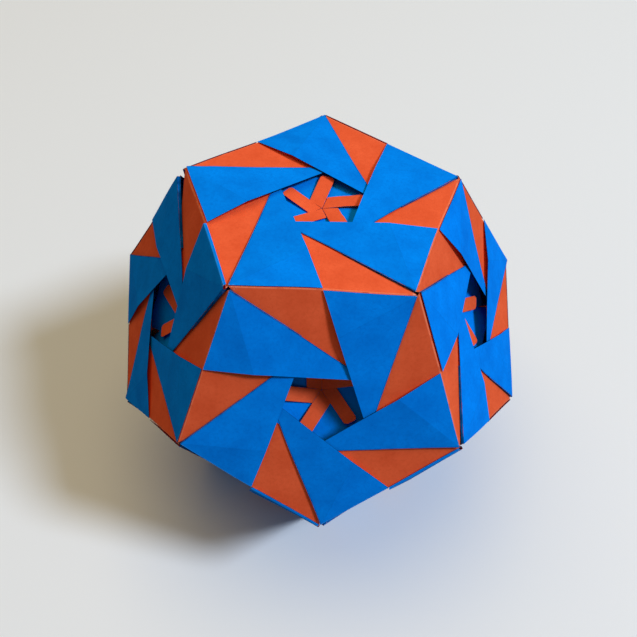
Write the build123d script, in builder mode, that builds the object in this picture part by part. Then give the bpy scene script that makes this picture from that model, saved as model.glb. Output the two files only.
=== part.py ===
"""A kusudama ball: thirty alike folded sheets, one along each edge of a regular dodecahedron.

Each sheet is creased along its edge into two alike wings, one on each of the two faces beside it.
A wing is one run of paper: the base strip, the flap folded back over it, and the inner sector that
is folded under it and dips to the middle of the face. The tip of a flap is tucked into the pocket
between the base and the flap of the next sheet round the face.
"""
from build123d import *
import os
from math import atan, cos, degrees, radians, sin, sqrt, tan

# Driving dimensions, in millimetres and degrees.
edge_length = 39.4  # edge of the dodecahedron, from corner to corner
paper = 0.1  # thickness of the sheet
fold_gap = 0.02  # air inside a pressed fold
layer_gap = 0.04  # air between the layers of two sheets
sector_gap = 0.12  # clearance of an inner sector from the line that it shares with the next
corner_trim = 0.5  # bare length at each corner of the ball
lead_angle = 72.0  # free edge of the flap, from the ridge
back_angle = 76.0  # folded edge of the flap, from the ridge
flap_setback = 0.15  # foot of the flap, back from the ridge
crease_reach = 11.0  # where the crease of the flap meets its free edge, from the middle of the ridge
base_inset = 1.4  # inner edge of the base, back from the free edge of the flap that covers it
base_side_angle = 46.0  # covered side of the base, from the ridge
sector_inset = 5.5  # outer edge of the inner sector, as far in as from the ridge
sector_skew = 3.5  # far end of that outer edge, further in than its near end
dimple_depth = 4.3  # depth of the middle of the face
star_turn = 19.0  # turn of the five inner sectors round the middle of the face
hem_width = 3.4  # turned-over strip along one side of the inner sector
hem_length = 9.4  # that strip, from the middle of the face outwards
hem_corner = 0.9  # blunt corner at the strip's outer end

# Dodecahedron.
face_sides = 5
face_turn = 360.0 / face_sides
face_corner = 180.0 - face_turn
golden = (1.0 + sqrt(5.0)) / 2.0
dihedral = 2.0 * degrees(atan(golden))
wing_slope = 90.0 - dihedral / 2.0
mid_radius = edge_length * golden**2 / 2.0
half_edge = edge_length / 2.0


def heading(angle: float) -> Vector:
    """Direction on a wing, at an angle from the ridge: x along the ridge, y in to the face."""
    return Vector(cos(radians(angle)), sin(radians(angle)))


# Outline of one wing, with the middle of the ridge at (0, 0).
start_corner = Vector(-half_edge, 0)
end_corner = Vector(half_edge, 0)
lead_way = heading(lead_angle)
back_way = heading(180.0 - back_angle)
tip_angle = 180.0 - lead_angle - back_angle
lead_length = half_edge * sin(radians(back_angle)) / sin(radians(tip_angle))
flap_tip = lead_way * lead_length
crease_end = lead_way * crease_reach
base_width = half_edge * sin(radians(face_turn)) - base_inset
base_side_way = heading(base_side_angle)
back_end = end_corner + back_way * (base_width / back_way.Y)
side_origin = start_corner + Vector(sector_gap / cos(radians(face_turn / 2.0)), 0)
hem_origin = Vector(-side_origin.X, 0)
side_end = side_origin + base_side_way * (base_width / base_side_way.Y)
sector_tip = Vector(0, hem_origin.X / tan(radians(face_turn / 2.0)))
face_middle = Vector(0, half_edge / tan(radians(face_turn / 2.0)))

# Twist of the sheet about its own middle: the back of each wing rides over the next sheet's base,
# by a sheet and a gap where the two bases stop overlapping.
overlap_reach = base_width / sin(radians(face_corner - base_side_angle))
overlap_cosines = cos(radians(base_side_angle)) + cos(radians(face_corner - base_side_angle))
ridge_rise = (paper + layer_gap) / (edge_length - overlap_reach * overlap_cosines)
twist = -degrees(atan(ridge_rise / sin(radians(wing_slope))))

# Lift of the flap at its crease, which lets the tip of the sheet before it lie underneath.
previous_way = heading(-face_turn)
previous_middle = start_corner - previous_way * half_edge
tucked_tip = previous_middle + heading(lead_angle - face_turn) * lead_length
across_back = Vector(-back_way.Y, back_way.X)
lift_share = (tucked_tip - end_corner).dot(across_back) / (crease_end - end_corner).dot(across_back)
flap_lift = (paper + 2.0 * layer_gap) / lift_share


def wing_plane(sheet: Plane) -> Plane:
    """Face of the ball beside the ridge, for a sheet on the given plane."""
    slope = radians(wing_slope)
    return Plane((0, 0, 0), x_dir=sheet.x_dir, z_dir=sheet.z_dir * cos(slope) - sheet.y_dir * sin(slope))


def outline(*points: Vector) -> list:
    """Points of a wing as sketch coordinates, where y runs out of the face."""
    return [(point.X, -point.Y) for point in points]


wing = wing_plane(Plane.XY.rotated((0, 0, twist)))


def on_wing(point: Vector, height: float) -> Vector:
    """Point of a wing at a height over the base, in the frame of the sheet."""
    return wing.from_local_coords(Vector(point.X, -point.Y, height))


# Corners of the half sheet, from the ridge in to the face.
ridge_start = start_corner + Vector(corner_trim, 0)
ridge_end = end_corner - Vector(corner_trim, 0)
side_start = side_origin + base_side_way * corner_trim
back_start = end_corner + back_way * corner_trim
flap_start = lead_way * (flap_setback / lead_way.Y)
flap_corner = end_corner + back_way * (flap_setback / back_way.Y)
crease = on_wing(crease_end, fold_gap + flap_lift)


def on_sector(point: Vector) -> Vector:
    """Point of the inner sector, which dips to the dimple and is turned round the middle of the face."""
    turned = face_middle + (point - face_middle).rotate(Axis.Z, star_turn)
    return on_wing(turned, -paper / 2.0 - (dimple_depth - paper / 2.0) * point.Y / sector_tip.Y)


def on_sector_side(corner: Vector, depth: float) -> Vector:
    """Point on a side of the inner sector, from its outer corner, at a distance in from its outer edge."""
    return on_sector(corner + (sector_tip - corner) * (depth / sector_tip.Y))


def facet_plane(first: Vector, second: Vector, third: Vector) -> Plane:
    """Plane of a facet, from three of its corners."""
    return Plane(first, x_dir=second - first, z_dir=(second - first).cross(third - first))


# Facets of the half sheet that leave the face: the flap rises, the gusset, its wall and the sector dip.
flap_low = on_wing(flap_corner, fold_gap)
sector_foot = on_sector_side(side_origin, sector_inset)
far_foot = on_sector_side(hem_origin, sector_inset + sector_skew)
dimple = on_sector(sector_tip)
flap_facets = (
    (on_wing(flap_start, fold_gap), flap_low, crease),
    (flap_low, on_wing(flap_tip, fold_gap), crease),
)
gusset_start = on_wing(side_origin + base_side_way * (sector_inset / base_side_way.Y), -paper / 2.0)
gusset_end = on_wing(side_end, -paper / 2.0)
gusset = (gusset_start, gusset_end, sector_foot)
half_sheet_down = wing.z_dir * (-paper / 2.0)
wall_foot = on_sector_side(side_origin, base_width) + half_sheet_down
wall = (gusset_end, wall_foot, sector_foot + half_sheet_down)
sector = (dimple, far_foot, sector_foot)

with BuildPart() as half_sheet:
    # Base strip on the face, and the fold at its back edge that leads over to the flap.
    with BuildSketch(wing):
        Polygon(*outline(ridge_start, end_corner, back_end, side_end, side_start), align=None)
    extrude(amount=-paper)
    with BuildSketch(wing.offset(-paper / 2.0)):
        fold_width = across_back * paper
        Polygon(*outline(back_start, back_end, back_end + fold_width, back_start + fold_width), align=None)
    extrude(amount=paper + fold_gap)

    # Flap with a crease across it.
    for corners in flap_facets:
        facet = facet_plane(*corners)
        with BuildSketch(facet):
            flat_corners = [facet.to_local_coords(corner) for corner in corners]
            Polygon(*[(corner.X, corner.Y) for corner in flat_corners], align=None)
        extrude(amount=paper, dir=wing.z_dir)

    # Blunt corner at the end of the ridge.
    with BuildSketch(wing):
        past_corner = Vector(2.0 * corner_trim, 0)
        Polygon(*outline(ridge_end, ridge_end + past_corner, back_start + past_corner, back_start), align=None)
    extrude(amount=2.0 * paper + flap_lift, both=True, mode=Mode.SUBTRACT)

    # Gusset folded under the covered side of the base, its wall, and the inner sector folded out from it.
    for corners, way in ((gusset, -wing.z_dir), (wall, facet_plane(*wall).z_dir), (sector, -wing.z_dir)):
        facet = facet_plane(*corners)
        with BuildSketch(facet):
            flat_corners = [facet.to_local_coords(corner) for corner in corners]
            Polygon(*[(corner.X, corner.Y) for corner in flat_corners], align=None)
        extrude(amount=paper, dir=way)

    # Hem turned over along the far side of the inner sector.
    hem_plane = facet_plane(*sector)
    near_side = hem_plane.to_local_coords(sector_foot)
    with BuildSketch(hem_plane) as hem:
        Polygon(
            (0, 0),
            (hem_length, 0),
            (hem_length, hem_width),
            (near_side.X * hem_width / near_side.Y, hem_width),
            align=None,
        )
        chamfer(hem.vertices().group_by(Axis.X)[-1], hem_corner)
    extrude(amount=paper)

# Whole sheet: two alike halves that share the ridge.
with BuildPart() as sheet:
    with PolarLocations(0, 2):
        add(half_sheet.part)


def face_normal(tilt: float, turn: float) -> Vector:
    """Outward direction of a face, tilted from the top and turned round it from the front."""
    return Vector(0, 0, 1).rotate(Axis.X, tilt).rotate(Axis.Z, turn)


# Faces of the ball, from the one on top to the one that it rests on.
face_tilt = 180.0 - dihedral
top_face = face_normal(0.0, 0.0)
upper_faces = [face_normal(face_tilt, face_turn * k) for k in range(face_sides)]
lower_faces = [face_normal(dihedral, face_turn * (k + 0.5)) for k in range(face_sides)]
bottom_face = face_normal(180.0, 0.0)

# One sheet between each two faces that share an edge, ring by ring.
rings = {"top": [], "upper": [], "middle": [], "lower": [], "bottom": []}
for k in range(face_sides):
    rings["top"].append((top_face, upper_faces[k]))
    rings["upper"].append((upper_faces[k], upper_faces[(k + 1) % face_sides]))
    rings["middle"].append((upper_faces[k], lower_faces[k]))
    rings["middle"].append((upper_faces[(k + 1) % face_sides], lower_faces[k]))
    rings["lower"].append((lower_faces[k], lower_faces[(k + 1) % face_sides]))
    rings["bottom"].append((bottom_face, lower_faces[k]))

os.makedirs("parts", exist_ok=True)
for ring, pairs in rings.items():
    for count, (first_face, second_face) in enumerate(pairs, start=1):
        outward = (first_face + second_face).normalized()
        edge_plane = Plane(outward * mid_radius, x_dir=first_face.cross(second_face), z_dir=outward)
        with BuildPart() as unit:
            with Locations(edge_plane):
                add(sheet.part)
        unit.part.label = f"{ring}_unit_{count}"
        export_step(unit.part, f"parts/{unit.part.label}.step")
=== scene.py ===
"""Dresses the kusudama ball: thirty folded sheets of two-colour paper on a pale floor.

One sheet is cut and folded flat facet by flat facet, copied along the thirty edges of the ball, and
bent a little by hand-work. Lengths are in metres and angles in radians.
"""
import logging
from collections.abc import Iterator
from contextlib import contextmanager
from dataclasses import dataclass, field
from enum import Enum
from math import atan, cos, degrees, pi, radians, sin, sqrt, tan

import bmesh
import bpy
from bpy.types import Material, Node, NodeSocket, NodeTree, Object, Texture
from mathutils import Matrix, Vector


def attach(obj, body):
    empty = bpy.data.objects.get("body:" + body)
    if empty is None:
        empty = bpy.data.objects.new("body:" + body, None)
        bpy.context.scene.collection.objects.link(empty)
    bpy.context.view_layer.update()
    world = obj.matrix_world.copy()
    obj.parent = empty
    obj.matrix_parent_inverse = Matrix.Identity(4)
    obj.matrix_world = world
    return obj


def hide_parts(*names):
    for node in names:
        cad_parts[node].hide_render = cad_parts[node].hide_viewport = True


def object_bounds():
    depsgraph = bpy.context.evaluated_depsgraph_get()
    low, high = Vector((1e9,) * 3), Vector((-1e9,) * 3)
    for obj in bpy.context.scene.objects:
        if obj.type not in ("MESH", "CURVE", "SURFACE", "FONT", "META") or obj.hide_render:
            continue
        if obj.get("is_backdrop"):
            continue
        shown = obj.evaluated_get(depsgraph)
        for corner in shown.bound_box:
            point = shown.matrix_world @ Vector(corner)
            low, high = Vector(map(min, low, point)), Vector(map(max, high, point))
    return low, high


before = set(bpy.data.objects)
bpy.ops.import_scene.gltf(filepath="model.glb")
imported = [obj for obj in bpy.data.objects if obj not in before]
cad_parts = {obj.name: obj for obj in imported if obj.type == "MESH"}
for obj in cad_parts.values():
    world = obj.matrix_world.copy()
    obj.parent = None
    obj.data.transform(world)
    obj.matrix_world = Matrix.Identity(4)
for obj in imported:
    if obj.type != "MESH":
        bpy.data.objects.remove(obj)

LOG = logging.getLogger("kusudama")
MM = 0.001
CUT_SLACK = 0.0001 * MM
CAD_BOX = [list(corner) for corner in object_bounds()]
GOLDEN = (1.0 + sqrt(5.0)) / 2.0
FACE_SIDES = 5
FACE_TURN = 2.0 * pi / FACE_SIDES
HALF_TURN = Matrix.Rotation(pi, 3, "Z")
Colour = tuple[float, float, float, float]
FacePair = tuple[Vector, Vector]
MarkPair = tuple[Object, Object]


class Ring(Enum):
    """Rings of sheets, from the top face to the face that the ball rests on."""

    TOP = "top"
    UPPER = "upper"
    MIDDLE = "middle"
    LOWER = "lower"
    BOTTOM = "bottom"


class Stand(Enum):
    """How a flap stands, in millimetres: air in its back fold, lift of its crease, reach over the ridge."""

    FLAT = (0.14, 0.2, -0.05)
    LOOSE = (0.24, 0.35, -0.1)
    RAISED = (0.4, 0.45, -0.15)
    GAPING = (0.75, 0.3, -0.45)
    CURLED = (0.6, 0.45, 0.2)
    BOWED = (0.45, 0.8, 0.35)


class PaperSide(Enum):
    """Material slots of a sheet, in the order that its thickness is given."""

    REVERSE = 0
    FRONT = 1
    EDGE = 2


def srgb(red: int, green: int, blue: int) -> Colour:
    """Turns a display colour into a linear one.

    Args:
        red: Red, from 0 to 255.
        green: Green, from 0 to 255.
        blue: Blue, from 0 to 255.

    Returns:
        The linear colour with full alpha.
    """
    def linear(level: int) -> float:
        """Undoes the display curve for one channel."""
        share = level / 255.0
        return share / 12.92 if share <= 0.04045 else ((share + 0.055) / 1.055) ** 2.4
    return linear(red), linear(green), linear(blue), 1.0


def deselect_all() -> None:
    """Leaves object mode with nothing selected."""
    if bpy.context.object and bpy.context.object.mode != "OBJECT":
        bpy.ops.object.mode_set(mode="OBJECT")
    bpy.ops.object.select_all(action="DESELECT")


def select_only(*objects: Object) -> None:
    """Selects objects and makes the first one active.

    Args:
        objects: Objects to select.
    """
    deselect_all()
    for item in objects:
        item.select_set(True)
    bpy.context.view_layer.objects.active = objects[0]


@contextmanager
def editing(piece: Object) -> Iterator[None]:
    """Opens an object in edit mode for a while.

    Args:
        piece: Object to edit.

    Yields:
        Nothing, with the object in edit mode.
    """
    select_only(piece)
    bpy.ops.object.mode_set(mode="EDIT")
    yield
    bpy.ops.object.mode_set(mode="OBJECT")


def apply_modifier(piece: Object, kind: str, **settings: object) -> None:
    """Adds a modifier with its settings and applies it.

    Args:
        piece: Object that is changed.
        kind: Type of the modifier.
        settings: Values for the modifier's properties.
    """
    select_only(piece)
    modifier = piece.modifiers.new(kind.lower(), kind)
    for name, value in settings.items():
        setattr(modifier, name, value)
    bpy.ops.object.modifier_apply(modifier=modifier.name)


class NodeDesk:
    """Small helper that adds nodes to one tree and links them."""

    def __init__(self, tree: NodeTree) -> None:
        """Keeps the tree that the nodes go into."""
        self.tree = tree

    def add(self, kind: str, **values: object) -> Node:
        """Adds a node.

        Args:
            kind: Identifier of the node type.
            values: Properties of the node, and inputs by name with spaces written as underscores.

        Returns:
            The new node.
        """
        node = self.tree.nodes.new(kind)
        for name, value in values.items():
            if hasattr(node, name):
                setattr(node, name, value)
            else:
                node.inputs[name.replace("_", " ")].default_value = value
        return node

    def link(self, source: NodeSocket, target: NodeSocket) -> None:
        """Joins an output to an input."""
        self.tree.links.new(source, target)

    def mix(self, factor: NodeSocket, first: object, second: object) -> NodeSocket:
        """Mixes two colours.

        Args:
            factor: Share of the second colour.
            first: Colour or socket at a share of 0.
            second: Colour or socket at a share of 1.

        Returns:
            The socket with the mixed colour.
        """
        node = self.tree.nodes.new("ShaderNodeMix")
        node.data_type = "RGBA"
        self.link(factor, node.inputs[0])
        for socket, value in ((node.inputs[6], first), (node.inputs[7], second)):
            if isinstance(value, NodeSocket):
                self.link(value, socket)
            else:
                socket.default_value = value
        return node.outputs[2]

    def span(self, value: NodeSocket, low: float, high: float,
             start: float = 0.0, end: float = 1.0) -> NodeSocket:
        """Maps a value from one range to another, held at its ends.

        Args:
            value: Socket to map.
            low: Value that becomes start.
            high: Value that becomes end.
            start: Result at low.
            end: Result at high.

        Returns:
            The socket with the mapped value.
        """
        node = self.add("ShaderNodeMapRange", From_Min=low, From_Max=high, To_Min=start, To_Max=end)
        self.link(value, node.inputs["Value"])
        return node.outputs["Result"]


@dataclass
class PaperEffects:
    """Node groups that the paper finishes share, with the part of each noise that shows."""

    cloud_part: tuple[float, float] = (0.3, 0.7)
    fibre_part: tuple[float, float] = (0.25, 0.75)
    patch_scale: float = 420.0
    patch_part: tuple[float, float] = (0.35, 0.65)
    patch_least: float = 0.55
    speck_scale: float = 1900.0
    speck_part: tuple[float, float] = (0.55, 0.68)
    speck_most: float = 0.7
    grain: NodeTree = field(init=False)
    painted_light_and_fraying: NodeTree = field(init=False)

    def __post_init__(self) -> None:
        """Builds both groups."""
        self.grain = self.build_grain()
        self.painted_light_and_fraying = self.build_painted_light_and_fraying()

    @staticmethod
    def new_group(name: str, inputs: list[tuple[str, str]], outputs: list[tuple[str, str]]) -> NodeDesk:
        """Starts a node group.

        Args:
            name: Name of the group.
            inputs: Names and types of its inputs.
            outputs: Names and types of its outputs.

        Returns:
            A desk on the new group's tree.
        """
        tree = bpy.data.node_groups.new(name, "ShaderNodeTree")
        for direction, sockets in (("INPUT", inputs), ("OUTPUT", outputs)):
            for title, kind in sockets:
                tree.interface.new_socket(title, in_out=direction, socket_type=kind)
        return NodeDesk(tree)

    def build_grain(self) -> NodeTree:
        """Makes the group that gives paper its cloudy tone and its fibres.

        Returns:
            The new group.
        """
        desk = self.new_group(
            "paper_grain",
            [("Cloud Scale", "NodeSocketFloat"), ("Fibre Scale", "NodeSocketFloat")],
            [("Cloud", "NodeSocketFloat"), ("Fibre", "NodeSocketFloat"), ("Height", "NodeSocketFloat")],
        )
        given = desk.add("NodeGroupInput")
        out = desk.add("NodeGroupOutput")
        place = desk.add("ShaderNodeTexCoord").outputs["Object"]
        cloud = desk.add("ShaderNodeTexNoise", Detail=3.0, Roughness=0.55)
        fibre = desk.add("ShaderNodeTexNoise", Detail=5.0, Roughness=0.7, Distortion=0.6)
        for node, scale in ((cloud, "Cloud Scale"), (fibre, "Fibre Scale")):
            desk.link(place, node.inputs["Vector"])
            desk.link(given.outputs[scale], node.inputs["Scale"])
        desk.link(desk.span(cloud.outputs["Fac"], *self.cloud_part), out.inputs["Cloud"])
        desk.link(desk.span(fibre.outputs["Fac"], *self.fibre_part), out.inputs["Fibre"])
        desk.link(fibre.outputs["Fac"], out.inputs["Height"])
        return desk.tree

    def build_painted_light_and_fraying(self) -> NodeTree:
        """Makes the group that paints shade on the folds and creases and a highlight along the ridge, and
        frets the corners of the sheet.

        Returns:
            The new group.
        """
        desk = self.new_group(
            "painted_fold_light_and_corner_fraying",
            [("Colour", "NodeSocketColor"), ("Fold Colour", "NodeSocketColor"),
             ("Ridge Colour", "NodeSocketColor"), ("Core Colour", "NodeSocketColor"),
             ("Fold Amount", "NodeSocketFloat"), ("Ridge Amount", "NodeSocketFloat"),
             ("Crease Amount", "NodeSocketFloat")],
            [("Colour", "NodeSocketColor")],
        )
        given = desk.add("NodeGroupInput")
        out = desk.add("NodeGroupOutput")
        corner = desk.add("ShaderNodeAttribute", attribute_name="corner")
        place = desk.add("ShaderNodeTexCoord").outputs["Object"]
        patch = desk.add("ShaderNodeTexNoise", Scale=self.patch_scale, Detail=2.0)
        speck = desk.add("ShaderNodeTexNoise", Scale=self.speck_scale, Detail=2.0)
        for node in (patch, speck):
            desk.link(place, node.inputs["Vector"])
        patchy = desk.span(patch.outputs["Fac"], *self.patch_part, start=self.patch_least)
        folded = given.outputs["Colour"]
        # Painted shade on the folds and creases and a painted highlight on the ridge, in patches.
        for mark, colour in (("fold", "Fold"), ("ridge", "Ridge"), ("crease", "Fold")):
            place_mark = desk.add("ShaderNodeAttribute", attribute_name=mark)
            patchy_light = desk.add("ShaderNodeMath", operation="MULTIPLY")
            desk.link(place_mark.outputs["Fac"], patchy_light.inputs[0])
            desk.link(patchy, patchy_light.inputs[1])
            share = desk.add("ShaderNodeMath", operation="MULTIPLY")
            desk.link(patchy_light.outputs[0], share.inputs[0])
            desk.link(given.outputs[f"{mark.title()} Amount"], share.inputs[1])
            folded = desk.mix(share.outputs[0], folded, given.outputs[f"{colour} Colour"])
        frayed = desk.add("ShaderNodeMath", operation="MULTIPLY")
        desk.link(corner.outputs["Fac"], frayed.inputs[0])
        desk.link(desk.span(speck.outputs["Fac"], *self.speck_part, end=self.speck_most), frayed.inputs[1])
        worn = desk.mix(frayed.outputs[0], folded, given.outputs["Core Colour"])
        desk.link(worn, out.inputs["Colour"])
        return desk.tree


@dataclass(frozen=True)
class PaperFinish:
    """Finish of one side of the paper, or of its cut edge."""

    name: str
    colour: Colour
    deep_colour: Colour
    # Painted shade: the fold colour darkens the folds and the creases.
    fold_shade_colour: Colour
    # Painted highlight: the ridge colour lightens the rounded ridge.
    ridge_highlight_colour: Colour
    core_colour: Colour
    fold_shade_amount: float
    ridge_highlight_amount: float
    crease_shade_amount: float = 0.11
    roughness_low: float = 0.8
    roughness_high: float = 0.94
    specular: float = 0.03
    cloud_scale: float = 160.0
    fibre_scale: float = 1300.0
    cloud_share: float = 0.5
    fibre_start: float = 0.4
    fibre_share: float = 0.45
    bump_strength: float = 0.22
    bump_distance: float = 0.03 * MM

    def material(self, effects: PaperEffects) -> Material:
        """Builds the material.

        Args:
            effects: Node groups that the finishes share.

        Returns:
            The new material.
        """
        material = bpy.data.materials.new(self.name)
        material.use_nodes = True
        material.diffuse_color = self.colour
        desk = NodeDesk(material.node_tree)
        shader = material.node_tree.nodes["Principled BSDF"]
        shader.inputs["Specular IOR Level"].default_value = self.specular
        grain = desk.add("ShaderNodeGroup", node_tree=effects.grain,
                         Cloud_Scale=self.cloud_scale, Fibre_Scale=self.fibre_scale)
        tone = desk.mix(desk.span(grain.outputs["Cloud"], 0.0, 1.0, 0.0, self.cloud_share),
                        self.colour, self.deep_colour)
        tone = desk.mix(desk.span(grain.outputs["Fibre"], self.fibre_start, 1.0, 0.0, self.fibre_share),
                        tone, self.deep_colour)
        # Paints shade on the folds and creases and a highlight on the ridge, and shows the pale core at
        # worn corners.
        painted_light_and_fraying = desk.add("ShaderNodeGroup", node_tree=effects.painted_light_and_fraying, Fold_Colour=self.fold_shade_colour,
                        Ridge_Colour=self.ridge_highlight_colour, Core_Colour=self.core_colour,
                        Fold_Amount=self.fold_shade_amount, Ridge_Amount=self.ridge_highlight_amount,
                        Crease_Amount=self.crease_shade_amount)
        desk.link(tone, painted_light_and_fraying.inputs["Colour"])
        desk.link(painted_light_and_fraying.outputs["Colour"], shader.inputs["Base Color"])
        rough = desk.span(grain.outputs["Fibre"], 0.0, 1.0, self.roughness_low, self.roughness_high)
        desk.link(rough, shader.inputs["Roughness"])
        bump = desk.add("ShaderNodeBump", Strength=self.bump_strength, Distance=self.bump_distance)
        desk.link(grain.outputs["Height"], bump.inputs["Height"])
        desk.link(bump.outputs["Normal"], shader.inputs["Normal"])
        return material


PAPER_CORE = srgb(226, 205, 190)
# Fold colours are painted shade for the folds and creases; ridge colours are painted highlights along the
# ridge.
BLUE_SIDE = PaperFinish("blue_paper", srgb(0, 144, 254), srgb(0, 106, 206), srgb(0, 46, 100),
                        srgb(90, 190, 255), PAPER_CORE, fold_shade_amount=0.8, ridge_highlight_amount=0.25)
ORANGE_SIDE = PaperFinish("orange_paper", srgb(253, 105, 61), srgb(219, 76, 36), srgb(140, 44, 26),
                          srgb(255, 150, 112), PAPER_CORE, fold_shade_amount=0.6, ridge_highlight_amount=0.6)
# Painted shade: the cut edge is dark navy for the dark lines along the edges of the layers.
SHADED_CUT_EDGE = PaperFinish("painted_dark_paper_edge", srgb(10, 44, 84), srgb(8, 34, 66), srgb(10, 44, 84),
                       srgb(40, 100, 160), PAPER_CORE, fold_shade_amount=0.2, ridge_highlight_amount=0.2)


@dataclass(frozen=True)
class WingHand:
    """How one wing was left by the hand that folded it."""

    fold_gap: float
    spring: float
    lip: float
    dimple_depth: float
    star_turn: float


@dataclass
class FoldedSheet:
    """One sheet along an edge of the ball, in its own frame: X along the ridge and Z outwards."""

    edge: float = 39.4 * MM
    paper: float = 0.1 * MM
    hem_gap: float = 0.2 * MM
    tip_gap: float = 0.08 * MM
    layer_gap: float = 0.06 * MM
    sector_gap: float = 0.12 * MM
    corner_trim: float = 0.25 * MM
    lead_angle: float = radians(72.0)
    back_angle: float = radians(76.0)
    crease_reach: float = 11.0 * MM
    base_inset: float = 1.4 * MM
    base_side_angle: float = radians(46.0)
    sector_inset: float = 11.5 * MM
    star_rim: float = 6.0 * MM
    sector_skew: float = 3.5 * MM
    hem_width: float = 3.4 * MM
    hem_length: float = 9.4 * MM
    hem_corner: float = 0.9 * MM
    hem_overhang: float = 0.3 * MM
    hem_clearance: float = 0.06 * MM
    hem_spring: float = 0.8 * MM
    hem_steps: int = 4
    ridge_round: float = 0.18 * MM
    ridge_steps: int = 3
    fold_round: float = 0.1 * MM
    fold_steps: int = 4
    fold_sharpness: float = radians(30.0)
    grid_step: float = 1.6 * MM
    fold_band: float = 0.35 * MM
    crease_band: float = 0.22 * MM
    weld: float = 0.004 * MM

    def __post_init__(self) -> None:
        """Works out the outline of a wing, with the middle of the ridge at (0, 0)."""
        self.slope = pi / 2.0 - atan(GOLDEN)
        self.half_edge = self.edge / 2.0
        self.start_corner = Vector((-self.half_edge, 0.0))
        self.end_corner = Vector((self.half_edge, 0.0))
        self.lead_way = self.heading(self.lead_angle)
        self.back_way = self.heading(pi - self.back_angle)
        self.side_way = self.heading(self.base_side_angle)
        self.lead_length = self.half_edge * sin(self.back_angle) / sin(self.lead_angle + self.back_angle)
        self.flap_tip = self.lead_way * self.lead_length
        self.crease_end = self.lead_way * self.crease_reach
        self.base_width = self.half_edge * sin(FACE_TURN) - self.base_inset
        side_step = Vector((self.sector_gap / cos(FACE_TURN / 2.0), 0.0))
        self.side_origin = self.start_corner + side_step
        self.hem_origin = self.end_corner - side_step
        self.sector_tip = Vector((0.0, self.hem_origin.x / tan(FACE_TURN / 2.0)))
        self.face_middle = Vector((0.0, self.half_edge / tan(FACE_TURN / 2.0)))
        self.back_end = self.end_corner + self.back_way * (self.base_width / self.back_way.y)
        self.side_end = self.side_origin + self.side_way * (self.base_width / self.side_way.y)
        self.across_back = Vector((-self.back_way.y, self.back_way.x))
        crease_way = (self.crease_end - self.end_corner).normalized()
        self.across_crease = Vector((-crease_way.y, crease_way.x))
        self.twist = self.find_twist()
        self.flap_lift = self.find_lift()

    @staticmethod
    def heading(angle: float) -> Vector:
        """Direction on a wing, at an angle from the ridge: x along the ridge, y in to the face."""
        return Vector((cos(angle), sin(angle)))

    def find_twist(self) -> float:
        """Works out the twist that lets the back of each wing ride over the next sheet's base.

        Returns:
            The turn of the sheet about its own middle.
        """
        far_angle = pi - FACE_TURN - self.base_side_angle
        reach = self.base_width / sin(far_angle)
        overlap = reach * (cos(self.base_side_angle) + cos(far_angle))
        rise = (self.paper + self.layer_gap) / (self.edge - overlap)
        return -atan(rise / sin(self.slope))

    def find_lift(self) -> float:
        """Works out the room under a flap for the tip of the sheet before it.

        Returns:
            The lift of the flap at its crease.
        """
        previous_middle = self.start_corner - self.heading(-FACE_TURN) * self.half_edge
        tucked_tip = previous_middle + self.heading(self.lead_angle - FACE_TURN) * self.lead_length
        whole = (self.crease_end - self.end_corner).dot(self.across_back)
        share = (tucked_tip - self.end_corner).dot(self.across_back) / whole
        return (self.paper + 2.0 * self.layer_gap) / share

    def on_wing(self, point: Vector, height: float) -> Vector:
        """Places a point of a wing.

        Args:
            point: Place on the wing, x along the ridge and y in to the face.
            height: Height over the outside of the base.

        Returns:
            The place in the sheet's frame.
        """
        lean, level = sin(self.slope), cos(self.slope)
        place = Vector((point.x, -point.y * level - height * lean, -point.y * lean + height * level))
        return Matrix.Rotation(self.twist, 3, "Z") @ place

    @staticmethod
    def star_way(direction: Vector, hand: WingHand) -> Vector:
        """Direction on the wing of a direction on the inner sector, which is turned round the face."""
        return Matrix.Rotation(hand.star_turn, 2) @ direction

    def on_sector(self, point: Vector, hand: WingHand, lift: float = 0.0) -> Vector:
        """Places a point of the inner sector, which dips to the dimple and is turned round the face.

        Args:
            point: Place on the sector before it is turned.
            hand: How the wing was left.
            lift: Height over the sector.

        Returns:
            The place in the sheet's frame.
        """
        share = (point.y - self.star_rim) / (self.sector_tip.y - self.star_rim)
        height = lift - self.paper / 2.0 - hand.dimple_depth * share
        return self.on_wing(self.face_middle + self.star_way(point - self.face_middle, hand), height)

    def along_side(self, corner: Vector, inset: float) -> Vector:
        """Point on a side of the inner sector, at a distance in from the ridge."""
        return corner + (self.sector_tip - corner) * (inset / self.sector_tip.y)

    def way(self, direction: Vector) -> Vector:
        """Direction in the sheet's frame of a direction on the wing."""
        return self.on_wing(direction, 0.0) - self.on_wing(Vector((0.0, 0.0)), 0.0)

    def cut_facet(self, corners: list[Vector]) -> Object:
        """Cuts one flat facet out of a square of paper.

        Args:
            corners: Corners of the facet in order, all in one plane.

        Returns:
            The facet as an object of one face.
        """
        normal = (corners[1] - corners[0]).cross(corners[2] - corners[0]).normalized()
        middle = sum(corners, Vector()) / len(corners)
        deselect_all()
        bpy.ops.mesh.primitive_plane_add(size=4.0 * self.edge, location=middle,
                                         rotation=normal.to_track_quat("Z", "Y").to_euler())
        bpy.ops.object.transform_apply(location=True, rotation=True, scale=True)
        facet = bpy.context.object
        with editing(facet):
            for first, second in zip(corners, corners[1:] + corners[:1]):
                self.bisect(first, (second - first).cross(normal), clear=True)
        return facet

    @staticmethod
    def bisect(place: Vector, across: Vector, clear: bool = False) -> None:
        """Cuts the mesh in edit mode along a plane, and drops what lies outside where asked."""
        bpy.ops.mesh.select_all(action="SELECT")
        bpy.ops.mesh.bisect(plane_co=place, plane_no=across.normalized(), clear_outer=clear,
                            use_fill=False, threshold=CUT_SLACK)

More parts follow.
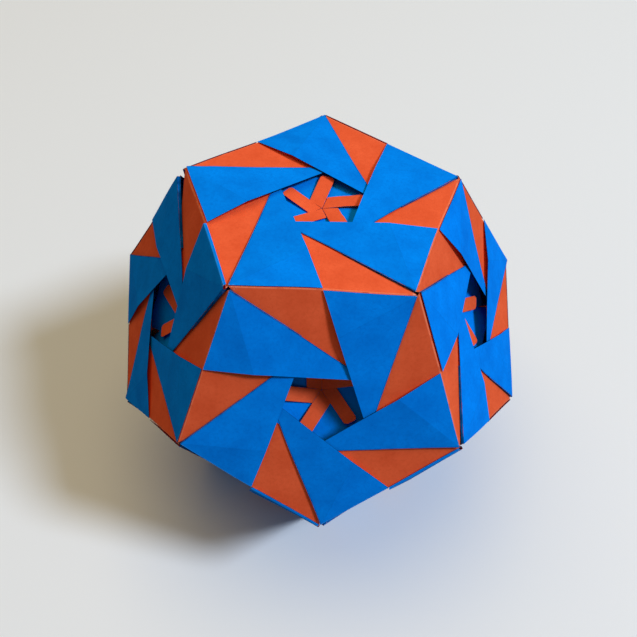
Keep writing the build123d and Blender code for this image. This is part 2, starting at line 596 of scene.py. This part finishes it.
    def base_facet(self) -> list[Vector]:
        """Outlines the base strip, which meets the other wing's base along the ridge.

        Returns:
            Its corners in order.
        """
        low = -self.paper / 2.0
        ridge = Vector((0.0, self.paper / 2.0 * tan(self.slope)))
        trim = Vector((self.corner_trim, 0.0))
        points = [
            self.start_corner + trim + ridge,
            self.end_corner - trim + ridge,
            self.end_corner + self.back_way * self.corner_trim,
            self.back_end,
            self.side_end,
            self.side_origin + self.side_way * self.corner_trim,
        ]
        return [self.on_wing(point, low) for point in points]

    def flap_foot(self, hand: WingHand) -> float:
        """Distance of the flap's foot in from the ridge, less than nothing where it curls over it."""
        return -(hand.fold_gap + self.paper / 2.0) * tan(self.slope) if hand.lip > 0.0 else -hand.lip

    def back_fold(self, hand: WingHand) -> list[Vector]:
        """Outlines the narrow wall at the back fold, between the base and the flap.

        Args:
            hand: How the wing was left.

        Returns:
            Its corners in order.
        """
        foot = self.flap_foot(hand)
        start = self.end_corner + self.back_way * max(self.corner_trim, foot / self.back_way.y)
        low = -self.paper / 2.0
        high, tip_high = hand.fold_gap + self.paper / 2.0, self.tip_gap + self.paper / 2.0

        def upper(point: Vector) -> Vector:
            """Point of the flap's folded edge over a point of the base's."""
            share = (point.y - foot) / (self.flap_tip.y - foot)
            return self.on_wing(point, high + (tip_high - high) * share)

        ends = (start, self.back_end)
        return [self.on_wing(end, low) for end in ends] + [upper(end) for end in reversed(ends)]

    def flap_facets(self, hand: WingHand) -> list[list[Vector]]:
        """Outlines the flap's two facets beside its crease, and its lip where it has one.

        Args:
            hand: How the wing was left.

        Returns:
            The corners of each facet in order.
        """
        high = hand.fold_gap + self.paper / 2.0
        inset = self.flap_foot(hand)
        foot_place = self.lead_way * (inset / self.lead_way.y)
        heel_place = self.end_corner + self.back_way * (inset / self.back_way.y)
        foot, heel = self.on_wing(foot_place, high), self.on_wing(heel_place, high)
        tip = self.on_wing(self.flap_tip, self.tip_gap + self.paper / 2.0)
        crease = self.on_wing(self.crease_end, high + self.flap_lift + hand.spring)
        facets = [[foot, heel, crease], [heel, tip, crease]]
        if hand.lip > 0.0:
            lip_ends = [HALF_TURN @ self.on_wing(Vector((-along, hand.lip)), high)
                        for along in (foot_place.x + hand.lip, heel_place.x - 2.0 * hand.lip)]
            facets.append([heel, foot, *lip_ends])
        return facets

    def gusset_facets(self, hand: WingHand) -> list[list[Vector]]:
        """Outlines the gusset, folded under the covered side of the base, and its wall.

        Args:
            hand: How the wing was left.

        Returns:
            The corners of both facets in order.
        """
        low = -self.paper / 2.0
        start = self.on_wing(self.side_origin + self.side_way * (self.sector_inset / self.side_way.y), low)
        end = self.on_wing(self.side_end, low)
        foot = self.on_sector(self.along_side(self.side_origin, self.sector_inset), hand)
        wall_foot = self.on_sector(self.along_side(self.side_origin, self.base_width), hand)
        return [[start, end, foot], [end, wall_foot, foot]]

    def sector_facet(self, hand: WingHand) -> list[Vector]:
        """Outlines the inner sector.

        Args:
            hand: How the wing was left.

        Returns:
            Its corners in order, from the dimple.
        """
        far_foot = self.along_side(self.hem_origin, self.sector_inset + self.sector_skew)
        near_foot = self.along_side(self.side_origin, self.sector_inset)
        return [self.on_sector(point, hand) for point in (self.sector_tip, far_foot, near_foot)]

    def hem_facets(self, hand: WingHand) -> tuple[list[Vector], list[Vector]]:
        """Outlines the hem over the sector, and the narrow wall at its fold.

        The fold stands a little over the next sector, and the inner end stops short of the fold of
        the hem before it, so that the five hems of a face meet as a star. The outer end springs up.

        Args:
            hand: How the wing was left.

        Returns:
            The corners of the hem and of the wall in order.
        """
        rise = self.paper + self.hem_gap
        outward = (self.hem_origin - self.sector_tip).normalized()
        across = Vector((outward.y, -outward.x))
        near_way = outward * cos(FACE_TURN) + across * sin(FACE_TURN)
        near_inset = outward * sin(FACE_TURN) - across * cos(FACE_TURN)
        inset = self.hem_overhang + self.hem_clearance
        inner_start = self.sector_tip + near_inset * inset

        def inner(width: float) -> Vector:
            """Point of the inner end at a distance from the far side."""
            return inner_start + near_way * ((width + cos(FACE_TURN) * inset) / sin(FACE_TURN))

        end = self.sector_tip + outward * self.hem_length
        low, wide = -self.hem_overhang, self.hem_width - self.hem_overhang
        points = [inner(low), end + across * low, end + across * wide, inner(wide)]

        def sprung(point: Vector) -> Vector:
            """Place of a point of the hem over the sector."""
            share = (point - self.sector_tip).dot(outward) / self.hem_length
            return self.on_sector(point, hand, rise + self.hem_spring * share)

        hem = [sprung(point) for point in points]
        stop = self.sector_tip + outward * (self.hem_length - self.hem_corner)
        start = self.sector_tip + outward * (inner(low) - self.sector_tip).dot(outward)
        wall = [self.on_sector(start, hand), self.on_sector(stop, hand),
                sprung(stop + across * low), sprung(inner(low))]
        return hem, wall

    def round_hem(self, hem: Object, end: list[Vector]) -> None:
        """Rounds the two corners at the hem's outer end.

        Args:
            hem: Hem facet.
            end: Places of the two corners.
        """
        near = self.hem_corner / 4.0
        with editing(hem):
            bpy.ops.mesh.select_mode(type="VERT")
            bpy.ops.mesh.select_all(action="DESELECT")
            mesh = bmesh.from_edit_mesh(hem.data)
            for vertex in mesh.verts:
                vertex.select_set(any((vertex.co - place).length < near for place in end))
            bmesh.update_edit_mesh(hem.data)
            bpy.ops.mesh.bevel(offset=self.hem_corner, segments=self.hem_steps, affect="VERTICES")

    def grid(self, wing: Object, hand: WingHand) -> None:
        """Scores a wing in squares and along its folds, so that it can bend.

        Args:
            wing: The joined facets.
            hand: How the wing was left.
        """
        along, inward = self.way(Vector((1.0, 0.0))), self.way(Vector((0.0, 1.0)))
        count = int(self.half_edge / self.grid_step) + 1
        cuts = [(along * (self.grid_step * step), along) for step in range(-count, count + 1)]
        insets = [self.fold_band, self.sector_inset, self.base_width]
        insets += [self.grid_step * step for step in range(1, int(self.lead_length / self.grid_step) + 1)]
        cuts += [(inward * inset, inward) for inset in insets]
        near_way = self.way(self.star_way(self.sector_tip - self.side_origin, hand))
        cuts.append((self.gusset_facets(hand)[1][1], near_way))
        far_way = self.way(self.star_way(self.hem_origin - self.sector_tip, hand))
        cuts += [(place, far_way) for place in self.hem_facets(hand)[1][:2]]
        for across, side in ((self.across_back, self.fold_band), (self.across_crease, -self.crease_band),
                             (self.across_crease, self.crease_band)):
            cuts.append((self.on_wing(self.end_corner + across * side, 0.0), self.way(across)))
        with editing(wing):
            for place, across in cuts:
                self.bisect(place, across)

    def build_wing(self, hand: WingHand) -> Object:
        """Folds one wing as a single run of paper without thickness.

        Args:
            hand: How the wing was left.

        Returns:
            The wing in the sheet's frame.
        """
        hem_corners, hem_wall = self.hem_facets(hand)
        hem = self.cut_facet(hem_corners)
        self.round_hem(hem, hem_corners[1:3])
        flaps = [self.cut_facet(corners) for corners in self.flap_facets(hand)]
        trim_start = self.end_corner - Vector((self.corner_trim, 0.0))
        trim_end = self.end_corner + self.back_way * self.corner_trim
        trim = (trim_end - trim_start).normalized()
        for flap in flaps:
            with editing(flap):
                self.bisect(self.on_wing(trim_start, 0.0), self.way(Vector((trim.y, -trim.x))), clear=True)
        facets = [self.cut_facet(self.base_facet()), self.cut_facet(self.back_fold(hand)),
                  self.cut_facet(self.sector_facet(hand)), self.cut_facet(hem_wall[:3]),
                  self.cut_facet([hem_wall[0], *hem_wall[2:]]), hem, *flaps]
        facets += [self.cut_facet(corners) for corners in self.gusset_facets(hand)]
        select_only(*facets)
        bpy.ops.object.join()
        wing = bpy.context.object
        self.grid(wing, hand)
        return wing

    def build(self, hands: tuple[WingHand, WingHand], materials: list[Material]) -> Object:
        """Folds the whole sheet and gives it its thickness and its two colours.

        Args:
            hands: How its two wings were left.
            materials: Materials in the order of the paper's sides.

        Returns:
            The sheet in its own frame.
        """
        wing, other = (self.build_wing(hand) for hand in hands)
        select_only(other)
        bpy.ops.transform.rotate(value=pi, orient_axis="Z", center_override=(0.0, 0.0, 0.0))
        bpy.ops.object.transform_apply(location=True, rotation=True, scale=True)
        select_only(wing, other)
        bpy.ops.object.join()
        sheet = bpy.context.object
        sheet.name = "folded_sheet"
        with editing(sheet):
            bpy.ops.mesh.select_all(action="SELECT")
            bpy.ops.mesh.remove_doubles(threshold=self.weld)
            bpy.ops.mesh.normals_make_consistent(inside=False)
        self.face_outwards(sheet)
        self.round_folds(sheet)
        for material in materials:
            sheet.data.materials.append(material)
        apply_modifier(sheet, "SOLIDIFY", thickness=self.paper, offset=0.0, use_even_offset=False,
                       use_quality_normals=True, material_offset=PaperSide.FRONT.value,
                       material_offset_rim=PaperSide.EDGE.value)
        self.mark_light_and_fraying(sheet, max(hand.fold_gap + hand.spring for hand in hands))
        return sheet

    def face_outwards(self, sheet: Object) -> None:
        """Turns the sheet over if the reverse of the paper does not face outwards on the base.

        Args:
            sheet: The folded sheet without thickness.
        """
        # A place where the sheet has nothing but its base.
        probe = self.on_wing(Vector((-0.8 * self.half_edge, 0.1 * self.half_edge)), -self.paper / 2.0)
        up = self.on_wing(Vector((0.0, 0.0)), 1.0)
        nearest = min(sheet.data.polygons, key=lambda polygon: (polygon.center - probe).length)
        if nearest.normal.dot(up) < 0.0:
            with editing(sheet):
                bpy.ops.mesh.select_all(action="SELECT")
                bpy.ops.mesh.flip_normals()

    def ridge_distance(self, place: Vector) -> float:
        """Distance of a point from the upright plane through the ridge, in the sheet's frame."""
        along = self.way(Vector((1.0, 0.0)))
        return abs(place.dot(Vector((-along.y, along.x, 0.0))))

    def round_folds(self, sheet: Object) -> None:
        """Rounds the fold along the ridge, and gives each side of the other folds its own vertices.

        Most of the other folds are too narrow to be rounded, so their bevel is held back there.

        Args:
            sheet: The folded sheet without thickness.
        """
        with editing(sheet):
            bpy.ops.mesh.select_mode(type="EDGE")
            bpy.ops.mesh.select_all(action="DESELECT")
            mesh = bmesh.from_edit_mesh(sheet.data)
            for edge in mesh.edges:
                edge.select_set(all(self.ridge_distance(vertex.co) < self.weld for vertex in edge.verts)
                                and all(vertex.co.z > -self.paper for vertex in edge.verts))
            bmesh.update_edit_mesh(sheet.data)
            bpy.ops.mesh.bevel(offset=self.ridge_round, segments=self.ridge_steps, affect="EDGES")
            bpy.ops.mesh.select_all(action="DESELECT")
            bpy.ops.mesh.edges_select_sharp(sharpness=self.fold_sharpness)
            bpy.ops.mesh.bevel(offset=self.fold_round, segments=self.fold_steps, affect="EDGES",
                               clamp_overlap=True)

    def mark_light_and_fraying(self, sheet: Object, rise: float) -> None:
        """Marks folds and creases for painted shade, the ridge for a painted highlight, and blunt corners
        for worn paper.

        Args:
            sheet: The folded sheet.
            rise: Most that a flap stands over its base.
        """
        names = ("fold", "ridge", "crease", "corner")
        for name in names:
            sheet.data.attributes.new(name, "FLOAT", "POINT")
        marks = [sheet.data.attributes[name].data for name in names]
        heel = self.on_wing(self.end_corner, 0.0)
        up = self.on_wing(Vector((0.0, 0.0)), 1.0)
        back_across, crease_across = self.way(self.across_back), self.way(self.across_crease)
        inward = self.way(Vector((0.0, 1.0)))
        near = self.fold_band / 2.0
        for vertex in sheet.data.vertices:
            ridge = self.ridge_distance(vertex.co) < near and vertex.co.z > -self.fold_band
            fold = crease = False
            for place in (vertex.co, HALF_TURN @ vertex.co):
                offset = place - heel
                inset = offset.dot(inward)
                level = -2.0 * self.paper < offset.dot(up) < 2.0 * self.flap_lift + rise
                in_fold = abs(offset.dot(back_across)) < near and 0.0 < inset < self.lead_length
                fold = fold or (level and in_fold)
                in_crease = abs(offset.dot(crease_across)) < self.crease_band / 2.0 and inset > 0.0
                crease = crease or (offset.dot(up) > self.tip_gap and in_crease)
            bare = self.half_edge - self.corner_trim - abs(vertex.co.x)
            tip = self.ridge_distance(vertex.co) < self.fold_band and bare < self.fold_band
            for mark, marked in zip(marks, (fold, ridge, crease, tip)):
                mark[vertex.index].value = float(marked)


@dataclass(frozen=True)
class FlapPull:
    """Turn of one flap in its face, clockwise seen from outside."""

    wing: int
    turn: float


# How a sheet's flaps stand: first the wing on its second face, then the wing on its first face.
USUAL_STANDS = (Stand.FLAT, Stand.LOOSE)
STANDS = {
    "top_1": (Stand.LOOSE, Stand.LOOSE),
    "top_2": (Stand.LOOSE, Stand.LOOSE),
    "top_3": (Stand.LOOSE, Stand.LOOSE),
    "top_5": (Stand.CURLED, Stand.GAPING),
    "upper_1": (Stand.RAISED, Stand.LOOSE),
    "upper_4": (Stand.GAPING, Stand.LOOSE),
    "upper_5": (Stand.LOOSE, Stand.FLAT),
    "middle_1": (Stand.BOWED, Stand.FLAT),
    "middle_2": (Stand.LOOSE, Stand.RAISED),
    "middle_9": (Stand.LOOSE, Stand.LOOSE),
    "middle_10": (Stand.BOWED, Stand.FLAT),
    **{f"bottom_{count}": (Stand.FLAT, Stand.FLAT) for count in range(1, FACE_SIDES + 1)},
}
# Sheets that have slipped along their ridge, and flaps that are turned from where the rest lie.
SLIDES = {"upper_4": -1.7 * MM}
PULLS = {
    "top_2": FlapPull(1, radians(1.4)),
    "top_3": FlapPull(1, radians(-1.2)),
    "upper_5": FlapPull(0, radians(2.9)),
    "middle_1": FlapPull(1, radians(3.6)),
}


@dataclass
class HandWork:
    """Slight differences between the sheets and bends of the ball, as folding by hand leaves them."""

    dimple: float = 5.5 * MM
    top_dimple: float = 2.2 * MM
    front_dimple: float = 7.0 * MM
    star_turn: float = radians(19.0)
    front_turn: float = radians(34.0)
    sway: float = 0.5 * MM
    sway_span: float = 60.0 * MM
    wave: float = 0.16 * MM
    wave_span: float = 17.0 * MM
    nudge_span: float = 26.0 * MM
    pull_span: float = 36.0 * MM
    strip_depth: float = 1.0 * MM
    top_lean: float = 0.9
    front_lean: float = 0.8

    def __post_init__(self) -> None:
        """Makes the two fields that bend the paper, and the marks that its corners are moved by."""
        self.fields = [
            (self.cloud("ball_sway", self.sway_span), self.sway),
            (self.cloud("paper_wave", self.wave_span), self.wave),
        ]
        self.nudges: list[MarkPair] = []

    @staticmethod
    def mark_pair(place: Vector, shift: Vector) -> MarkPair:
        """Sets the two marks that a warp moves paper between.

        Args:
            place: Place of the first mark.
            shift: Way from the first mark to the second.

        Returns:
            Both marks.
        """
        marks = []
        for spot in (place, place + shift):
            deselect_all()
            bpy.ops.object.empty_add(location=spot)
            marks.append(bpy.context.object)
        return marks[0], marks[1]

    @staticmethod
    def drop(marks: MarkPair) -> None:
        """Takes two marks away."""
        for mark in marks:
            bpy.data.objects.remove(mark)

    def nudge(self, corner: Vector, shift: Vector) -> None:
        """Notes that the paper round a corner of the ball is moved."""
        self.nudges.append(self.mark_pair(corner, shift))

    def clear(self) -> None:
        """Forgets the corners that were moved."""
        for marks in self.nudges:
            self.drop(marks)
        self.nudges.clear()

    def pull(self, piece: Object, face: Vector, tip: Vector, shift: Vector) -> None:
        """Pulls the flap on one face aside at its tip, with the base under it and not the inner sector.

        Args:
            piece: Sheet in its place.
            face: Outward direction of the face.
            tip: Tip of the flap.
            shift: How far the tip is moved.
        """
        inner = tip.dot(face) - self.strip_depth
        strip = piece.vertex_groups.new(name="strip")
        on_strip = [vertex.index for vertex in piece.data.vertices if vertex.co.dot(face) > inner]
        strip.add(on_strip, 1.0, "ADD")
        marks = self.mark_pair(tip, shift)
        apply_modifier(piece, "WARP", object_from=marks[0], object_to=marks[1], falloff_type="LINEAR",
                       falloff_radius=self.pull_span, vertex_group=strip.name)
        piece.vertex_groups.clear()
        self.drop(marks)

    def hand(self, stand: Stand, face: Vector) -> WingHand:
        """Leaves a wing on a face.

        Args:
            stand: How far its flap stands off.
            face: Outward direction of the face.

        Returns:
            The way the wing was left.
        """
        gap, spring, lip = stand.value
        dimple, turn = self.dimple, self.star_turn
        if face.z > self.top_lean:
            dimple = self.top_dimple
        elif face.z > 0.0 and -face.y > self.front_lean:
            dimple, turn = self.front_dimple, self.front_turn
        return WingHand(gap * MM, spring * MM, lip * MM, dimple, turn)

    @staticmethod
    def cloud(name: str, span: float) -> Texture:
        """Makes a soft field of three values.

        Args:
            name: Name of the field.
            span: Size of its lumps.

        Returns:
            The new texture.
        """
        texture = bpy.data.textures.new(name, "CLOUDS")
        texture.cloud_type = "COLOR"
        texture.noise_scale = span
        texture.noise_depth = 0
        return texture

    def bend(self, piece: Object) -> None:
        """Bends a sheet in its place, the same way as the sheets that it touches.

        Args:
            piece: Sheet in its place.
        """
        for texture, amount in self.fields:
            apply_modifier(piece, "DISPLACE", texture=texture, texture_coords="LOCAL",
                           direction="RGB_TO_XYZ", mid_level=0.5, strength=amount)
        for start, end in self.nudges:
            apply_modifier(piece, "WARP", object_from=start, object_to=end, falloff_type="SMOOTH",
                           falloff_radius=self.nudge_span)


@dataclass
class PaperBall:
    """The ball: thirty copies of the sheet, ring by ring."""

    sheet: FoldedSheet
    hand_work: HandWork
    smooth_angle: float = radians(32.0)

    def __post_init__(self) -> None:
        """Works out the faces of the dodecahedron."""
        self.dihedral = 2.0 * atan(GOLDEN)
        self.mid_radius = self.sheet.edge * GOLDEN**2 / 2.0
        tilt = pi - self.dihedral
        self.top = self.face(0.0, 0.0)
        self.upper = [self.face(tilt, FACE_TURN * count) for count in range(FACE_SIDES)]
        self.lower = [self.face(self.dihedral, FACE_TURN * (count + 0.5)) for count in range(FACE_SIDES)]
        self.bottom = self.face(pi, 0.0)

    @staticmethod
    def face(tilt: float, turn: float) -> Vector:
        """Outward direction of a face, tilted from the top and turned round it from the front."""
        return Matrix.Rotation(turn, 3, "Z") @ Matrix.Rotation(tilt, 3, "X") @ Vector((0.0, 0.0, 1.0))

    def rings(self) -> dict[Ring, list[FacePair]]:
        """Pairs the faces that share an edge.

        Returns:
            The outward directions of both faces of each edge, ring by ring.
        """
        pairs: dict[Ring, list[FacePair]] = {ring: [] for ring in Ring}
        for count in range(FACE_SIDES):
            following = (count + 1) % FACE_SIDES
            pairs[Ring.TOP].append((self.top, self.upper[count]))
            pairs[Ring.UPPER].append((self.upper[count], self.upper[following]))
            pairs[Ring.MIDDLE].append((self.upper[count], self.lower[count]))
            pairs[Ring.MIDDLE].append((self.upper[following], self.lower[count]))
            pairs[Ring.LOWER].append((self.lower[count], self.lower[following]))
            pairs[Ring.BOTTOM].append((self.bottom, self.lower[count]))
        return pairs

    def nudge_corners(self) -> None:
        """Moves the corners that the camera sees to where the hand-folded ball has them."""
        top, upper, lower = self.top, self.upper, self.lower
        radius = self.sheet.edge * GOLDEN * sqrt(3.0) / 2.0
        moves = (
            ((top, upper[0], upper[1]), (0.0, -0.3, -0.5)),
            ((top, upper[1], upper[2]), (0.7, -0.5, -0.4)),
            ((top, upper[2], upper[3]), (0.6, 0.1, 0.0)),
            ((top, upper[3], upper[4]), (-1.0, 0.4, 0.3)),
            ((upper[0], lower[0], lower[4]), (0.5, 0.4, 0.9)),
            ((upper[4], lower[4], lower[3]), (0.3, -0.5, -0.7)),
            ((upper[4], upper[3], lower[3]), (-0.3, -0.3, -0.4)),
            ((upper[1], lower[0], lower[1]), (0.0, 0.4, 0.6)),
            ((upper[1], upper[2], lower[1]), (0.0, -0.4, -0.5)),
        )
        for faces, shift in moves:
            self.hand_work.nudge(sum(faces, Vector()).normalized() * radius, Vector(shift) * MM)

    def edge_frame(self, first: Vector, second: Vector) -> Matrix:
        """Places a sheet on the edge between two faces.

        Args:
            first: Outward direction of the first face.
            second: Outward direction of the second face.

        Returns:
            The sheet's frame.
        """
        outward = (first + second).normalized()
        along = first.cross(second).normalized()
        turn = Matrix((along, outward.cross(along), outward)).transposed()
        return Matrix.Translation(outward * self.mid_radius) @ turn.to_4x4()

    def hands(self, place: str, faces: FacePair) -> tuple[WingHand, WingHand]:
        """Leaves both wings of a sheet.

        Args:
            place: Ring and number of the sheet.
            faces: Outward directions of the faces beside it.

        Returns:
            The ways its wings were left, first the one on the second face.
        """
        first, other = STANDS.get(place, USUAL_STANDS)
        return self.hand_work.hand(first, faces[1]), self.hand_work.hand(other, faces[0])

    def pull_flap(self, piece: Object, faces: FacePair, pull: FlapPull) -> None:
        """Turns one flap of a sheet round the middle of its ridge.

        Args:
            piece: Sheet in its place.
            faces: Outward directions of the faces beside it.
            pull: Flap and its turn.
        """
        face = faces[1 - pull.wing]
        wing_frame = self.edge_frame(*faces) @ Matrix.Rotation(pi * pull.wing, 4, "Z")
        foot = wing_frame @ self.sheet.on_wing(Vector((0.0, 0.0)), 0.0)
        tip = wing_frame @ self.sheet.on_wing(self.sheet.flap_tip, 0.0)
        shift = Matrix.Rotation(-pull.turn, 3, face) @ (tip - foot) - (tip - foot)
        self.hand_work.pull(piece, face, tip, shift)

    def settle(self, piece: Object, place: str, faces: FacePair) -> None:
        """Moves a copy of the sheet to its edge and bends it there.

        Args:
            piece: The copy, selected and in the sheet's own frame.
            place: Ring and number of the sheet.
            faces: Outward directions of the faces beside it.
        """
        slide = Matrix.Translation((SLIDES.get(place, 0.0), 0.0, 0.0))
        piece.matrix_world = self.edge_frame(*faces) @ slide
        bpy.ops.object.transform_apply(location=True, rotation=True, scale=True)
        if place in PULLS:
            self.pull_flap(piece, faces, PULLS[place])
        self.hand_work.bend(piece)
        select_only(piece)
        bpy.ops.object.shade_smooth_by_angle(angle=self.smooth_angle)

    def assemble(self, materials: list[Material]) -> None:
        """Copies the sheet to every edge and dresses the copies.

        Args:
            materials: Materials in the order of the paper's sides.
        """
        masters: dict[tuple[WingHand, WingHand], Object] = {}
        self.nudge_corners()
        for ring, pairs in self.rings().items():
            for count, faces in enumerate(pairs, start=1):
                place = f"{ring.value}_{count}"
                hands = self.hands(place, faces)
                if hands not in masters:
                    masters[hands] = self.sheet.build(hands, materials)
                select_only(masters[hands])
                bpy.ops.object.duplicate()
                piece = bpy.context.object
                piece.name = f"{ring.value}_sheet_{count}"
                piece.data.name = piece.name
                self.settle(piece, place, faces)
                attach(piece, "root")
                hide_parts(f"{ring.value}_unit_{count}")
                LOG.info("%s: %d faces", piece.name, len(piece.data.polygons))
        self.hand_work.clear()
        for master in masters.values():
            bpy.data.meshes.remove(master.data)


@dataclass(frozen=True)
class Lamp:
    """One soft round lamp that looks at the ball."""

    name: str
    turn: float
    height: float
    size: float
    power: float
    colour: tuple[float, float, float]

    def hang(self, distance: float) -> None:
        """Hangs the lamp.

        Args:
            distance: Distance from the middle of the ball.
        """
        level = cos(self.height)
        way = Vector((level * cos(self.turn), level * sin(self.turn), sin(self.height)))
        deselect_all()
        bpy.ops.object.light_add(type="AREA", location=way * distance,
                                 rotation=way.to_track_quat("Z", "Y").to_euler())
        lamp = bpy.context.object
        lamp.name = self.name
        lamp.data.shape = "DISK"
        lamp.data.size = self.size
        lamp.data.energy = self.power
        lamp.data.color = self.colour


STUDIO_LAMPS = (
    Lamp("window_lamp", radians(-18.0), radians(49.0), 0.45, 32.5, (0.71, 0.82, 1.0)),
    Lamp("warm_lamp", radians(120.0), radians(75.0), 2.3, 19.5, (1.0, 0.74, 0.34)),
)


@dataclass
class Studio:
    """Floor, lamps and camera."""

    floor_size: float = 6.0
    floor_colour: Colour = srgb(239, 241, 242)
    floor_bounce: Colour = srgb(135, 135, 132)
    floor_roughness: float = 0.9
    floor_specular: float = 0.1
    tooth_scale: float = 900.0
    tooth_strength: float = 0.1
    tooth_depth: float = 0.05 * MM
    world_colour: Colour = srgb(216, 238, 255)
    world_strength: float = 0.14
    backdrop_colour: Colour = srgb(214, 215, 213)
    lamp_distance: float = 2.0
    camera_place: Vector = Vector((-3.05, -136.8, 162.3)) * MM
    camera_right: Vector = Vector((0.9999, -0.0016, 0.0164))
    camera_forward: Vector = Vector((0.0135, 0.6513, -0.7587))
    camera_lens: float = 44.15
    sensor: float = 36.0
    clip_start: float = 10.0 * MM

    def floor(self, level: float) -> None:
        """Lays the pale floor.

        Args:
            level: Height of the floor.
        """
        deselect_all()
        bpy.ops.mesh.primitive_plane_add(size=self.floor_size, location=(0.0, 0.0, level))
        floor = bpy.context.object
        floor.name = "floor"
        material = bpy.data.materials.new("floor_paper")
        material.use_nodes = True
        desk = NodeDesk(material.node_tree)
        shader = material.node_tree.nodes["Principled BSDF"]
        seen = desk.add("ShaderNodeLightPath").outputs["Is Camera Ray"]
        desk.link(desk.mix(seen, self.floor_bounce, self.floor_colour), shader.inputs["Base Color"])
        shader.inputs["Roughness"].default_value = self.floor_roughness
        shader.inputs["Specular IOR Level"].default_value = self.floor_specular
        place = desk.add("ShaderNodeTexCoord").outputs["Object"]
        tooth = desk.add("ShaderNodeTexNoise", Scale=self.tooth_scale, Detail=3.0)
        desk.link(place, tooth.inputs["Vector"])
        bump = desk.add("ShaderNodeBump", Strength=self.tooth_strength, Distance=self.tooth_depth)
        desk.link(tooth.outputs["Fac"], bump.inputs["Height"])
        desk.link(bump.outputs["Normal"], shader.inputs["Normal"])
        floor.data.materials.append(material)
        floor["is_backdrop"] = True

    def lamps(self) -> None:
        """Hangs the soft lamps and sets the even light of the room."""
        for lamp in STUDIO_LAMPS:
            lamp.hang(self.lamp_distance)
        world = bpy.data.worlds.new("room")
        world.use_nodes = True
        desk = NodeDesk(world.node_tree)
        room = world.node_tree.nodes["Background"]
        room.inputs["Color"].default_value = self.world_colour
        room.inputs["Strength"].default_value = self.world_strength
        backdrop = desk.add("ShaderNodeBackground", Color=self.backdrop_colour)
        choice = desk.add("ShaderNodeMixShader")
        desk.link(desk.add("ShaderNodeLightPath").outputs["Is Camera Ray"], choice.inputs["Fac"])
        desk.link(room.outputs["Background"], choice.inputs[1])
        desk.link(backdrop.outputs["Background"], choice.inputs[2])
        desk.link(choice.outputs["Shader"], world.node_tree.nodes["World Output"].inputs["Surface"])
        bpy.context.scene.world = world

    def camera(self) -> None:
        """Sets the camera where the photograph was taken from."""
        data = bpy.data.cameras.new("camera")
        data.lens = self.camera_lens
        data.sensor_width = self.sensor
        data.clip_start = self.clip_start
        item = bpy.data.objects.new("camera", data)
        bpy.context.scene.collection.objects.link(item)
        back = -self.camera_forward.normalized()
        up = back.cross(self.camera_right).normalized()
        right = up.cross(back)
        turn = Matrix((right, up, back)).transposed().to_4x4()
        item.matrix_world = Matrix.Translation(self.camera_place) @ turn
        bpy.context.scene.camera = item


def main() -> None:
    """Builds the ball and the studio, and lays the floor under the lower of both boxes."""
    logging.basicConfig(level=logging.INFO, format="%(name)s: %(message)s")
    bpy.context.scene.view_settings.view_transform = "Standard"
    effects = PaperEffects()
    finishes = {PaperSide.REVERSE: ORANGE_SIDE, PaperSide.FRONT: BLUE_SIDE, PaperSide.EDGE: SHADED_CUT_EDGE}
    materials = [finishes[side].material(effects) for side in PaperSide]
    sheet = FoldedSheet()
    LOG.info("twist %.3f deg, flap lift %.3f mm", degrees(sheet.twist), sheet.flap_lift / MM)
    ball = PaperBall(sheet, HandWork())
    ball.assemble(materials)
    studio = Studio()
    studio.floor(min(CAD_BOX[0][2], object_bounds()[0][2]))
    studio.lamps()
    studio.camera()


if __name__ == "__main__":
    main()
